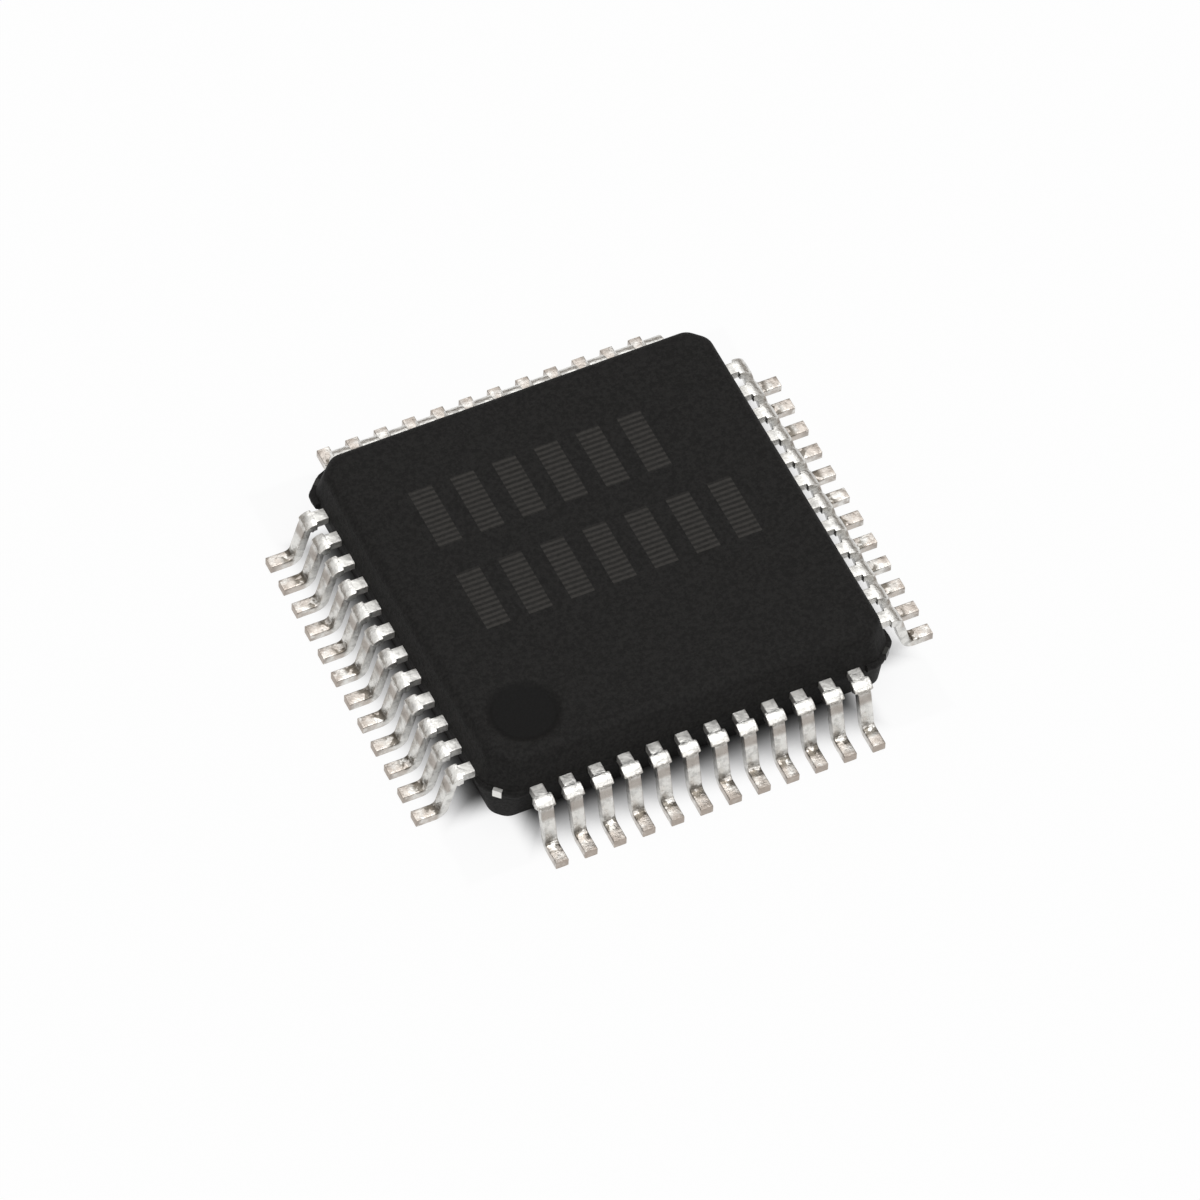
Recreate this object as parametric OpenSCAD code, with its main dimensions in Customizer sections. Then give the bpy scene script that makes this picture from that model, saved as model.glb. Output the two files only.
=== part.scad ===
// Low-profile quad flat package: a moulded body with gull-wing leads on all four sides.
// Millimetres. Z = 0 is the seating plane under the feet and +Z points up, with the
// origin at the centre of the package. Leads are numbered anticlockwise seen from above,
// from the pin 1 corner (-X, -Y) along the -Y side.

/* [Package] */
// Number of leads on each of the four sides
leads_per_side = 12; // [8:1:12]
// Distance between the centres of neighbouring leads
lead_pitch = 0.5; // [0.46:0.01:0.52]
// Distance along a side from the outermost lead to the body's corner
row_margin = 0.64; // [0.6:0.01:0.8]
// Thickness of the moulded body
body_h = 1.4; // [1.3:0.05:1.6]
// Clearance between the seating plane and the underside of the body
standoff = 0.1; // [0.05:0.01:0.15]

/* [Moulding] */
// Slope of the side walls away from the parting line
draft_angle = 12; // [8:1:14]
// Slope of the corner cuts above the parting line
corner_draft_top = 16; // [10:1:18]
// Slope of the corner cuts below the parting line
corner_draft_bottom = 6; // [4:1:14]
// Length that a corner cut takes off each of its two sides
corner_cut = 0.3; // [0.2:0.02:0.4]
// The same for the larger cut at the pin 1 corner
pin1_corner_cut = 0.38; // [0.3:0.02:0.5]
// Radius that softens both ends of a corner cut
corner_blend_r = 0.3; // [0.1:0.05:0.4]
// Radius of the edge around the top face
top_edge_r = 0.2; // [0.05:0.01:0.24]
// Radius of the edge around the underside
bottom_edge_r = 0.06; // [0.03:0.01:0.1]
// How far the thin resin flash stands out from the corners at the parting line
flash = 0.06; // [0.02:0.01:0.1]
// Gap between the flash and the first and last lead of a row
flash_gap = 0.1; // [0.05:0.01:0.15]

/* [Pin 1 dimple and ejector marks] */
// Diameter of the dimple at its rim
dimple_d = 1.2; // [0.8:0.05:1.4]
// Depth of the dimple
dimple_depth = 0.06; // [0.03:0.01:0.1]
// Slope of the dimple's wall, from the vertical
dimple_wall_angle = 40; // [20:5:60]
// Distance of the dimple's centre from the two sides that meet at pin 1
dimple_inset = 1.0; // [0.9:0.05:1.3]
// Diameter of the two round ejector marks in the underside
ejector_d = 1.1; // [0.8:0.05:1.3]
// Depth of the ejector marks
ejector_depth = 0.03; // [0.02:0.01:0.05]
// Distance of the ejector marks from the nearest two sides
ejector_inset = 1.4; // [1.2:0.05:1.8]

/* [Lead outside the body] */
// Distance from the body's side to the toe
lead_reach = 1.0; // [0.9:0.05:1.2]
// Width of a lead
lead_w = 0.22; // [0.17:0.01:0.24]
// Thickness of the lead frame
lead_t = 0.15; // [0.12:0.01:0.18]
// Height of the lead frame's lower face above the underside of the body
frame_height = 0.66; // [0.6:0.01:0.7]
// Straight length between the body and the shoulder bend
shoulder_len = 0.24; // [0.2:0.01:0.28]
// Inner radius of the shoulder bend
shoulder_r = 0.06; // [0.04:0.01:0.1]
// Inner radius of the heel bend
heel_r = 0.1; // [0.06:0.01:0.14]
// Slope of the riser between the two bends
riser_angle = 75; // [70:1:84]
// Where the cut ends of the dam bar start, from the body
dam_start = 0.21; // [0.18:0.01:0.24]
// Length of the dam bar's cut ends along the lead
dam_len = 0.2; // [0.15:0.01:0.24]
// How far the dam bar's cut ends stand out on each side of the lead
dam_stub = 0.05; // [0.02:0.01:0.07]

/* [Lead frame inside the body] */
// Length of a finger from the body's side to its tip
finger_len = 1.25; // [1.1:0.05:1.3]
// Straight length of a finger behind the body's wall
anchor_len = 0.3; // [0.2:0.05:0.4]
// Distance along the pad's side from its corner to the outermost finger tip
tip_margin = 0.1; // [0.05:0.01:0.2]
// Width of a finger's tip
tip_w = 0.17; // [0.14:0.01:0.2]
// Straight length of a finger's tip, where the bond wire lands
tip_len = 0.25; // [0.2:0.05:0.3]
// Gap between the die pad and the finger tips
pad_gap = 0.25; // [0.2:0.01:0.3]
// How far the die pad is set down below the fingers
pad_downset = 0.2; // [0.15:0.01:0.25]
// Width of a tie bar
tie_w = 0.15; // [0.12:0.01:0.24]
// How far a tie bar's cut end stands out of the flash
tie_stub = 0.01; // [0.01:0.01:0.05]
// Level length of a tie bar between the pad's corner and the start of its rise
tie_neck = 0.27; // [0.2:0.01:0.4]
// Length along the diagonal in which the tie bar rises to the lead plane
tie_rise = 0.3; // [0.2:0.05:0.4]

/* [Die and bond wires] */
// Width of the pad's rim around the square die
pad_rim = 0.4; // [0.3:0.05:0.6]
// Thickness of the die
die_t = 0.28; // [0.2:0.01:0.3]
// Thickness of the adhesive under the die
attach_t = 0.02; // [0.02:0.01:0.04]
// How far the adhesive squeezes out around the die
attach_margin = 0.05; // [0.03:0.01:0.1]
// Distance of the bond pads from the edge of the die
bond_inset = 0.1; // [0.08:0.01:0.15]
// Distance of the outermost bond pads from the corner of the die
bond_corner_gap = 0.2; // [0.15:0.01:0.3]
// Diameter of the bond wire
wire_d = 0.025; // [0.02:0.001:0.03]
// Diameter of the ball at the die end of a wire
ball_d = 0.06; // [0.05:0.005:0.07]
// Height of the ball
ball_h = 0.02; // [0.015:0.001:0.025]
// How high the loop is drawn above the die
loop_h = 0.2; // [0.12:0.01:0.22]
// Length of the flattened stitch on the finger
stitch_len = 0.09; // [0.06:0.01:0.1]
// Thickness of the stitch's end
stitch_t = 0.01; // [0.006:0.001:0.015]

/* [Hidden] */
// Steps in a rounded edge, a bend and a wire
edge_steps = 4;
bend_steps = 6;
wire_steps = 7;
ball_sides = 8;
circle_steps = 64;
// Margin by which a cutting shape passes the surface that it cuts
over = 0.2;

lead_count = 4 * leads_per_side;
row_w = (leads_per_side - 1) * lead_pitch + lead_w;
body_w = row_w + 2 * row_margin;
half_body = body_w / 2;
toe_y = half_body + lead_reach;
z_bottom = standoff;
z_top = z_bottom + body_h;
frame_z0 = z_bottom + frame_height;
frame_z1 = frame_z0 + lead_t;
pad_z0 = frame_z0 - pad_downset;
pad_z1 = pad_z0 + lead_t;
die_z0 = pad_z1 + attach_t;
die_z1 = die_z0 + die_t;
tip_y = half_body - finger_len;
pad_w = 2 * (tip_y - pad_gap);
tip_pitch = (pad_w - 2 * tip_margin - tip_w) / (leads_per_side - 1);
die_w = pad_w - 2 * pad_rim;
bond_y = die_w / 2 - bond_inset;
bond_pitch = (die_w - 2 * bond_corner_gap) / (leads_per_side - 1);
SIDES = ["front", "right", "back", "left"];

function lead_name(i) = str("lead_", i < 9 ? "0" : "", i + 1);

// Place of number k in a centred row
function row_place(k, pitch) = (k - (leads_per_side - 1) / 2) * pitch;

// Points of an arc about c from angle a0 to a1
function arc(c, r, a0, a1, steps) = [
    for (k = [0 : steps])
        let (a = a0 + (a1 - a0) * k / steps)
            c + r * [cos(a), sin(a)]
];

function reverse(list) = [for (k = [len(list) - 1 : -1 : 0]) list[k]];

// ---- Moulded body ----

// Distance of the wall that faces direction a from the package's axis, at the parting line.
// The sides face 0, 90, 180 and 270 degrees, the corner cuts face the diagonals, and the
// walls between them soften the ends of the cuts.
function corner_cut_at(a) = abs(a - 225) < 45 ? pin1_corner_cut : corner_cut;

function wall_distance(a) =
    a % 90 == 0 ? half_body
    : a % 90 == 45 ? (body_w - corner_cut_at(a)) / sqrt(2)
    : half_body * cos(22.5) + (half_body - corner_cut_at(a)) * sin(22.5)
      - corner_blend_r * (1 / cos(22.5) - 1);

// Slope of the wall that faces direction a, where the corner cuts have the slope given
function wall_draft(a, corner_draft) =
    a % 90 == 0 ? draft_angle
    : a % 90 == 45 ? corner_draft
    : (draft_angle + corner_draft) / 2;

// Half of the body's section square to the wall that faces direction a: drafted both ways
// from a land as thick as the lead frame, with a rounded edge at the top and at the underside
function wall_section(a) =
    let (
        d = wall_distance(a),
        top_draft = wall_draft(a, corner_draft_top),
        bottom_draft = wall_draft(a, corner_draft_bottom),
        top_c = [
            d - (z_top - top_edge_r - frame_z1) * tan(top_draft) - top_edge_r / cos(top_draft),
            z_top - top_edge_r
        ],
        bottom_c = [
            d - (frame_z0 - z_bottom - bottom_edge_r) * tan(bottom_draft)
              - bottom_edge_r / cos(bottom_draft),
            z_bottom + bottom_edge_r
        ]
    )
    concat(
        [[-body_w, z_bottom]],
        arc(bottom_c, bottom_edge_r, -90, -bottom_draft, edge_steps),
        [[d, frame_z0], [d, frame_z1]],
        arc(top_c, top_edge_r, top_draft, 90, edge_steps),
        [[-body_w, z_top]]
    );

// Everything behind the wall that faces direction a
module behind_wall(a)
    rotate([0, 0, a])
        rotate([90, 0, 0])
            linear_extrude(height = 2 * body_w, center = true)
                polygon(wall_section(a));

module moulding_blank()
    intersection_for (a = [0 : 22.5 : 359]) behind_wall(a);

// Thin resin flash at the parting line, left only at the four corners
module corner_flash() {
    flash_start = row_w / 2 + flash_gap;
    corner_w = half_body - flash_start + over;
    corner_place = flash_start + corner_w / 2;
    translate([0, 0, frame_z0])
        intersection() {
            linear_extrude(height = lead_t)
                intersection_for (a = [0 : 45 : 359])
                    rotate(a)
                        translate([-body_w, -body_w])
                            square([body_w + wall_distance(a) + flash, 2 * body_w]);
            for (sx = [-1, 1], sy = [-1, 1])
                translate([sx * corner_place, sy * corner_place, lead_t / 2])
                    cube([corner_w, corner_w, lead_t + over], center = true);
        }
}

module pin1_dimple() {
    place = dimple_inset - half_body;
    slope = tan(dimple_wall_angle);
    translate([place, place, z_top - dimple_depth])
        cylinder(h = dimple_depth + over, r1 = dimple_d / 2 - dimple_depth * slope,
                 r2 = dimple_d / 2 + over * slope, $fn = circle_steps);
}

module ejector_marks() {
    place = half_body - ejector_inset;
    for (s = [-1, 1])
        translate([s * place, -s * place, z_bottom - over])
            cylinder(h = over + ejector_depth, d = ejector_d, $fn = circle_steps);
}

module mold_body()
    color([0.14, 0.14, 0.14])
        difference() {
            union() {
                moulding_blank();
                corner_flash();
            }
            pin1_dimple();
            ejector_marks();
            for (i = [0 : lead_count - 1]) lead(i);
            die_pad();
            die_attach();
            die();
            for (side = [0 : 3]) bond_wires(side);
        }

// ---- Leads ----

// Side view of a lead of the -Y row, as [distance from the package's axis, height].
// The upper face runs from the finger tip over the shoulder bend, down the riser and round
// the heel bend to the toe, and the lower face follows it one thickness below.
function lead_section() =
    let (
        outer_r = shoulder_r + lead_t,
        bend_y = half_body + shoulder_len,
        shoulder_c = [bend_y, frame_z1 - outer_r],
        riser_top = shoulder_c + outer_r * [sin(riser_angle), cos(riser_angle)],
        riser_foot_z = lead_t + heel_r * (1 - cos(riser_angle)),
        riser_foot_y = riser_top[0] + (riser_top[1] - riser_foot_z) / tan(riser_angle),
        heel_c = [riser_foot_y + heel_r * sin(riser_angle), lead_t + heel_r],
        upper_turn = 90 - riser_angle
    )
    concat(
        [[tip_y, frame_z1]],
        arc(shoulder_c, outer_r, 90, upper_turn, bend_steps),
        arc(heel_c, heel_r, 180 + upper_turn, 270, bend_steps),
        [[toe_y, lead_t], [toe_y, 0]],
        arc(heel_c, heel_r + lead_t, 270, 180 + upper_turn, bend_steps),
        arc(shoulder_c, shoulder_r, upper_turn, 90, bend_steps),
        [[tip_y, frame_z0]]
    );

// One edge of a lead of the -Y row seen from above, from beyond the toe to beyond the tip.
// s is -1 for the edge on the -X side and 1 for the other.
function lead_edge(k, s) =
    let (
        x = row_place(k, lead_pitch),
        x_tip = row_place(k, tip_pitch),
        near = x + s * lead_w / 2,
        wide = near + s * dam_stub,
        dam_in = half_body + dam_start,
        dam_out = dam_in + dam_len
    )
    [
        [near, -toe_y - over],
        [near, -dam_out],
        [wide, -dam_out],
        [wide, -dam_in],
        [near, -dam_in],
        [near, -half_body + anchor_len],
        [x_tip + s * tip_w / 2, -tip_y - tip_len],
        [x_tip + s * tip_w / 2, -tip_y + over]
    ];

module lead(i) {
    side = floor(i / leads_per_side);
    k = i % leads_per_side;
    color([0.72, 0.71, 0.68])
        rotate([0, 0, 90 * side])
            intersection() {
                translate([row_place(k, lead_pitch), 0, 0])
                    rotate([90, 0, -90])
                        linear_extrude(height = body_w, center = true)
                            polygon(lead_section());
                translate([0, 0, -over])
                    linear_extrude(height = frame_z1 + 2 * over)
                        polygon(concat(lead_edge(k, -1), reverse(lead_edge(k, 1))));
            }
}

// ---- Die pad, adhesive and die ----

// Side view of a tie bar, as [distance from the axis, height]: from the pad it rises to the
// lead plane and runs out through the corner
function tie_section(end) =
    let (rise_start = pad_w / sqrt(2) + tie_neck, rise_end = rise_start + tie_rise)
    [
        [0, pad_z0], [rise_start, pad_z0], [rise_end, frame_z0], [end, frame_z0],
        [end, frame_z1], [rise_end, frame_z1], [rise_start, pad_z1], [0, pad_z1]
    ];

module die_pad()
    color([0.75, 0.52, 0.35]) {
        translate([-pad_w / 2, -pad_w / 2, pad_z0])
            cube([pad_w, pad_w, lead_t]);
        for (a = [45 : 90 : 315])
            rotate([0, 0, a])
                rotate([90, 0, 0])
                    linear_extrude(height = tie_w, center = true)
                        polygon(tie_section(wall_distance(a) + flash + tie_stub));
    }

module die_attach() {
    w = die_w + 2 * attach_margin;
    color([0.8, 0.8, 0.78])
        translate([-w / 2, -w / 2, pad_z1])
            cube([w, w, attach_t]);
}

module die()
    color([0.35, 0.37, 0.42])
        translate([-die_w / 2, -die_w / 2, die_z0])
            cube([die_w, die_w, die_t]);

// ---- Bond wires ----

// Point of a loop's centre line, from the top of its ball to the heel of its stitch
function loop_point(t, heel, drop) =
    let (
        p0 = [0, ball_h],
        p1 = [0, ball_h + 1.4 * loop_h],
        p2 = [0.4 * heel, ball_h + 1.2 * loop_h],
        p3 = [heel, drop + wire_d / 2]
    )
    pow(1 - t, 3) * p0 + 3 * pow(1 - t, 2) * t * p1 + 3 * (1 - t) * t * t * p2 + pow(t, 3) * p3;

// The centre line moved sideways by d, as far as step last
function loop_edge(d, last, heel, drop) = [
    for (n = [0 : last])
        let (
            t = n / wire_steps,
            run = loop_point(min(t + 0.02, 1), heel, drop) - loop_point(max(t - 0.02, 0), heel, drop)
        )
        loop_point(t, heel, drop) + d * [-run[1], run[0]] / norm(run)
];

// A wire from the bond pad at from, on the die, to the finger at to. The wire is as wide as
// it is thick, so it is its side view made solid: up from the ball, over the loop and down
// to the flattened stitch.
module bond_wire(from, to) {
    run = to - from;
    reach = norm(run);
    heel = reach - stitch_len / 2;
    stitch_end = reach + stitch_len / 2;
    drop = frame_z1 - die_z1;
    translate([from[0], from[1], die_z1])
        rotate([0, 0, atan2(run[1], run[0])]) {
            cylinder(h = ball_h, d = ball_d, $fn = ball_sides);
            rotate([90, 0, 0])
                linear_extrude(height = wire_d, center = true)
                    polygon(concat(
                        loop_edge(wire_d / 2, wire_steps, heel, drop),
                        [[stitch_end, drop + stitch_t], [stitch_end, drop], [heel, drop]],
                        reverse(loop_edge(-wire_d / 2, wire_steps - 1, heel, drop))
                    ));
        }
}

module bond_wires(side)
    color([0.95, 0.75, 0.3])
        rotate([0, 0, 90 * side])
            for (k = [0 : leads_per_side - 1])
                bond_wire([row_place(k, bond_pitch), -bond_y],
                          [row_place(k, tip_pitch), -tip_y - tip_len / 2]);

mold_body();
die_pad();
die_attach();
die();
for (side = [0 : 3])
    bond_wires(side);
for (i = [0 : lead_count - 1])
    lead(i);
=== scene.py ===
"""Dresses the quad flat pack: moulded body, formed leads, bond wires, finishes and the stage.

Laid out as a Blender add-on and run as a script. Sizes are in metres, in the part's own frame:
Z = 0 is the seating plane, and the pin 1 corner is toward -X and -Y.
"""

import math

import bmesh
import bpy
from bpy.props import FloatProperty, FloatVectorProperty, IntProperty, PointerProperty
from mathutils import Matrix, Vector, noise


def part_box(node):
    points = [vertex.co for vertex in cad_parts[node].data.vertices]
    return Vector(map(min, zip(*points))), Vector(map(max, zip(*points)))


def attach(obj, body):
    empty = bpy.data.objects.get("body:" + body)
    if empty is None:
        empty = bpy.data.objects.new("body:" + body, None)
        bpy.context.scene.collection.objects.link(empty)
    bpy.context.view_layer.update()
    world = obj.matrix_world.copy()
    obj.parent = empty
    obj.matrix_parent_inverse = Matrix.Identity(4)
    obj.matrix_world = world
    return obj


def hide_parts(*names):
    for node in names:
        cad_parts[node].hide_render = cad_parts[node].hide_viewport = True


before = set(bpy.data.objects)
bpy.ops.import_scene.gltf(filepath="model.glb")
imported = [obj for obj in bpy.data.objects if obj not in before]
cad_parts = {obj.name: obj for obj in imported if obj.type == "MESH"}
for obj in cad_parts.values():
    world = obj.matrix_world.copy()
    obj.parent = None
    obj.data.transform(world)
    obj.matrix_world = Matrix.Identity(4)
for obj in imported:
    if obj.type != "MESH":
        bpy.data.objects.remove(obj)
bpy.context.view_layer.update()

bl_info = {
    "name": "Quad Flat Pack Dresser",
    "version": (1, 0, 0),
    "blender": (4, 5, 0),
    "location": "View3D > Sidebar > Quad Flat Pack",
    "description": "Builds the moulded body, leads, bond wires, finishes and stage of a chip",
    "category": "Object",
}

MM = 0.001
SIDES = ("front", "right", "back", "left")
BODY_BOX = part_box("mold_body")
TOE_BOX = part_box("lead_06")


# ---- Settings ----

def length(name, description, default, smallest=0.0):
    return FloatProperty(name=name, description=description, default=default, min=smallest,
                         unit="LENGTH", subtype="DISTANCE", precision=6)


def angle(name, description, default):
    return FloatProperty(name=name, description=description, default=math.radians(default),
                         unit="ROTATION", subtype="ANGLE")


def tint(name, description, default):
    return FloatVectorProperty(name=name, description=description, default=default, size=3,
                               min=0.0, max=1.0, subtype="COLOR")


def amount(name, description, default, largest=1.0):
    return FloatProperty(name=name, description=description, default=default, min=0.0,
                         max=largest)


class MouldSettings(bpy.types.PropertyGroup):
    """Sizes and colours of the moulded body"""
    side: length("Side", "Distance of the side walls from the axis, at the parting line", 3.5 * MM)
    underside: length("Underside", "Height of the underside", BODY_BOX[0].z)
    top: length("Top", "Height of the top face", BODY_BOX[1].z)
    land_low: length("Land bottom", "Height where the lower draft starts", 0.76 * MM)
    land_high: length("Land top", "Height where the upper draft starts", 0.91 * MM)
    draft: angle("Draft", "Slope of the walls away from the parting line", 12)
    corner_draft_top: angle("Corner draft, top", "Slope of the corner cuts above the parting "
                            "line", 16)
    corner_draft_low: angle("Corner draft, bottom", "Slope of the corner cuts below the parting "
                            "line", 6)
    top_round: length("Top edge", "Radius of the edge round the top face", 0.20 * MM)
    low_round: length("Lower edge", "Radius of the edge round the underside", 0.06 * MM)
    pin1_cut: length("Pin 1 corner", "Length cut from each side at the pin 1 corner", 0.38 * MM)
    corner_cut: length("Other corners", "Length cut from each side at the other corners",
                       0.30 * MM)
    corner_blend: length("Corner blend", "Length of side taken by the blend at a cut's end",
                         0.11 * MM)
    flash: length("Flash", "Width of the resin flash at the corners", 0.06 * MM)
    flash_start: length("Flash start", "Distance from the axis where the flash starts",
                        2.96 * MM)
    dimple: length("Dimple", "Radius of the pin 1 dimple", 0.6 * MM)
    dimple_depth: length("Dimple depth", "Depth of the pin 1 dimple", 0.06 * MM)
    dimple_place: length("Dimple place", "Distance of the dimple from both centre lines",
                         2.5 * MM)
    ejector: length("Ejector mark", "Radius of the marks underneath", 0.55 * MM)
    ejector_depth: length("Ejector depth", "Depth of the marks underneath", 0.03 * MM)
    ejector_place: length("Ejector place", "Distance of the marks from both centre lines",
                          2.1 * MM)
    compound: tint("Compound", "Colour of the moulding compound", (0.0070, 0.0067, 0.0064))
    marking: tint("Marking", "Colour of the laser-marked fields", (0.050, 0.047, 0.043))


class LeadSettings(bpy.types.PropertyGroup):
    """Sizes and colours of the leads"""
    per_side: IntProperty(name="Per side", description="Leads on each side", default=12, min=2)
    pitch: length("Pitch", "Distance between leads", 0.5 * MM)
    width: length("Width", "Width of a lead", 0.22 * MM)
    thickness: length("Thickness", "Thickness of the lead frame", 0.15 * MM)
    wall: length("Wall", "Distance of the body's side from the axis", 3.5 * MM)
    toe: length("Toe", "Distance of the toes from the axis", -TOE_BOX[0].y)
    height: length("Height", "Height of the lead frame's upper face", TOE_BOX[1].z)
    shoulder: length("Shoulder", "Straight length before the shoulder bend", 0.24 * MM)
    shoulder_bend: length("Shoulder bend", "Inner radius of the shoulder", 0.06 * MM)
    heel_bend: length("Heel bend", "Inner radius of the heel", 0.10 * MM)
    riser: angle("Riser", "Slope of the riser", 75)
    dam_start: length("Dam start", "Where the dam bar's cut ends start", 0.21 * MM)
    dam_len: length("Dam length", "Length of the dam bar's cut ends", 0.2 * MM)
    dam_stub: length("Dam stub", "How far the dam bar's cut ends stand out", 0.05 * MM)
    finger: length("Finger", "Length of the finger inside the body", 1.25 * MM)
    anchor: length("Anchor", "Straight length of the finger behind the wall", 0.3 * MM)
    tip_len: length("Tip length", "Straight length of the finger's tip", 0.25 * MM)
    tip_pitch: length("Tip pitch", "Distance between finger tips", 0.33 * MM)
    tip_width: length("Tip width", "Width of a finger's tip", 0.17 * MM)
    edge: length("Edge", "Radius of the stamped edges", 0.016 * MM)
    tin: tint("Tin", "Colour of the plating", (0.77, 0.76, 0.73))
    stain: tint("Stain", "Colour of the tarnish in the heels", (0.085, 0.07, 0.05))
    cut: tint("Cut end", "Colour of the sheared copper alloy", (0.46, 0.40, 0.35))


class InnerSettings(bpy.types.PropertyGroup):
    """Sizes and colours of what is sealed inside"""
    wire: length("Wire", "Diameter of the bond wires", 0.025 * MM)
    ball: length("Ball", "Diameter of the ball bonds", 0.06 * MM)
    loop: length("Loop", "Height of the wire loops above the die", 0.2 * MM)
    bond_inset: length("Bond inset", "Distance of the bond pads from the die's edge", 0.1 * MM)
    bond_corner: length("Bond corner", "Distance of the last bond pad from the die's corner",
                        0.2 * MM)
    copper: tint("Copper", "Colour of the die pad", (0.72, 0.45, 0.30))
    silicon: tint("Silicon", "Colour of the die", (0.09, 0.10, 0.13))
    silver: tint("Adhesive", "Colour of the die attach", (0.60, 0.60, 0.58))
    gold: tint("Gold", "Colour of the bond wires", (0.95, 0.70, 0.28))


class StageSettings(bpy.types.PropertyGroup):
    """Camera, floor and lights"""
    azimuth: angle("Azimuth", "Direction of the camera round the part", -26.9323)
    elevation: angle("Elevation", "Height of the camera over the part", 52.3262)
    roll: angle("Roll", "Turn of the camera about its own axis", 2.0605)
    distance: length("Distance", "Distance of the camera from the origin", 193.21 * MM)
    shift_right: FloatProperty(name="Right", description="Camera's offset to its right",
                               default=0.02415 * MM, unit="LENGTH", precision=6)
    shift_up: FloatProperty(name="Up", description="Camera's offset upward",
                            default=0.01668 * MM, unit="LENGTH", precision=6)
    lens: FloatProperty(name="Lens", description="Focal length in millimetres",
                        default=365.75, min=1.0)
    floor: tint("Floor", "Colour of the floor", (0.86, 0.86, 0.87))
    wall: length("Wall", "Distance of the body's side from the axis", 3.5 * MM)
    horizon: tint("Horizon", "What bright metal shows of the room", (0.20, 0.17, 0.14))
    key: amount("Key", "Strength of the overhead light", 0.0042, 10.0)
    world: amount("World", "Strength of the surroundings on the part", 0.45, 10.0)


# ---- Node helpers ----

def put(tree, kind, inputs=None, **settings):
    """Adds a node. An input is a value or another node's output."""
    made = tree.nodes.new(kind)
    for name, value in settings.items():
        setattr(made, name, value)
    for name, value in (inputs or {}).items():
        plug(tree, value, made.inputs[name])
    return made


def plug(tree, value, socket):
    if isinstance(value, bpy.types.NodeSocket):
        tree.links.new(value, socket)
    else:
        socket.default_value = value


def calc(tree, operation, *values, clamp=False):
    """A Math node, as its output."""
    made = tree.nodes.new("ShaderNodeMath")
    made.operation = operation
    made.use_clamp = clamp
    for socket, value in zip(made.inputs, values):
        plug(tree, value, socket)
    return made.outputs[0]


def between(tree, value, low, high, soft):
    """1 where value lies between low and high, with soft edges."""
    rise = ramp(tree, value, low - soft, low + soft)
    fall = ramp(tree, value, high - soft, high + soft, 1.0, 0.0)
    return calc(tree, "MULTIPLY", rise, fall)


def ramp(tree, value, low, high, to_low=0.0, to_high=1.0):
    """Maps low to high onto to_low to to_high, smoothly and clamped."""
    made = put(tree, "ShaderNodeMapRange",
               {"Value": value, "From Min": low, "From Max": high,
                "To Min": to_low, "To Max": to_high},
               interpolation_type="SMOOTHSTEP")
    return made.outputs["Result"]


def blend_colour(tree, share, first, second):
    """A Mix node on colours, as its output."""
    made = tree.nodes.new("ShaderNodeMix")
    made.data_type = "RGBA"
    plug(tree, share, made.inputs[0])
    plug(tree, first, made.inputs[6])
    plug(tree, second, made.inputs[7])
    return made.outputs[2]


def grain(tree, place, scale, detail=2.0, roughness=0.5):
    """Noise between 0 and 1 with the given number of features in a millimetre."""
    made = put(tree, "ShaderNodeTexNoise",
               {"Vector": place, "Scale": scale, "Detail": detail, "Roughness": roughness})
    return made.outputs["Fac"]


def new_group(name, inputs, outputs):
    """A shader node group with named float or colour sockets. Returns the group, and its
    input and output nodes."""
    group = bpy.data.node_groups.new(name, "ShaderNodeTree")
    for socket, (kind, default) in inputs.items():
        made = group.interface.new_socket(name=socket, in_out="INPUT", socket_type=kind)
        if default is not None:
            made.default_value = default
    for socket, kind in outputs.items():
        group.interface.new_socket(name=socket, in_out="OUTPUT", socket_type=kind)
    return group, group.nodes.new("NodeGroupInput"), group.nodes.new("NodeGroupOutput")


def use_group(tree, group, inputs=None):
    made = tree.nodes.new("ShaderNodeGroup")
    made.node_tree = group
    for name, value in (inputs or {}).items():
        plug(tree, value, made.inputs[name])
    return made


WHITE = (1, 1, 1, 1)
# colour of the painted shadow on the floor
PAINTED_SHADOW = (0.02, 0.02, 0.02, 1)
DARK_TIE_END = (0.03, 0.03, 0.028, 1)


def rgba(colour, factor=1.0):
    """A colour with alpha, its parts scaled and kept at 1 or less."""
    return tuple(min(1.0, part * factor) for part in colour) + (1.0,)


FLOAT = "NodeSocketFloat"
VECTOR = "NodeSocketVector"


def place_group():
    """Where a point lies on the part, in millimetres, and how far out from the body's side."""
    found = bpy.data.node_groups.get("Package place")
    if found:
        return found
    group, given, result = new_group(
        "Package place", {"Wall": (FLOAT, 3.5)},
        {"Place": VECTOR, "X": FLOAT, "Y": FLOAT, "Z": FLOAT, "Outward": FLOAT})
    coords = put(group, "ShaderNodeTexCoord")
    scaled = put(group, "ShaderNodeVectorMath", {0: coords.outputs["Object"]},
                 operation="SCALE")
    scaled.inputs["Scale"].default_value = 1 / MM
    parts = put(group, "ShaderNodeSeparateXYZ", {0: scaled.outputs[0]})
    across = calc(group, "MAXIMUM", calc(group, "ABSOLUTE", parts.outputs["X"]),
                  calc(group, "ABSOLUTE", parts.outputs["Y"]))
    plug(group, scaled.outputs[0], result.inputs["Place"])
    for name in "XYZ":
        plug(group, parts.outputs[name], result.inputs[name])
    plug(group, calc(group, "SUBTRACT", across, given.outputs["Wall"]),
         result.inputs["Outward"])
    return group


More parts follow.
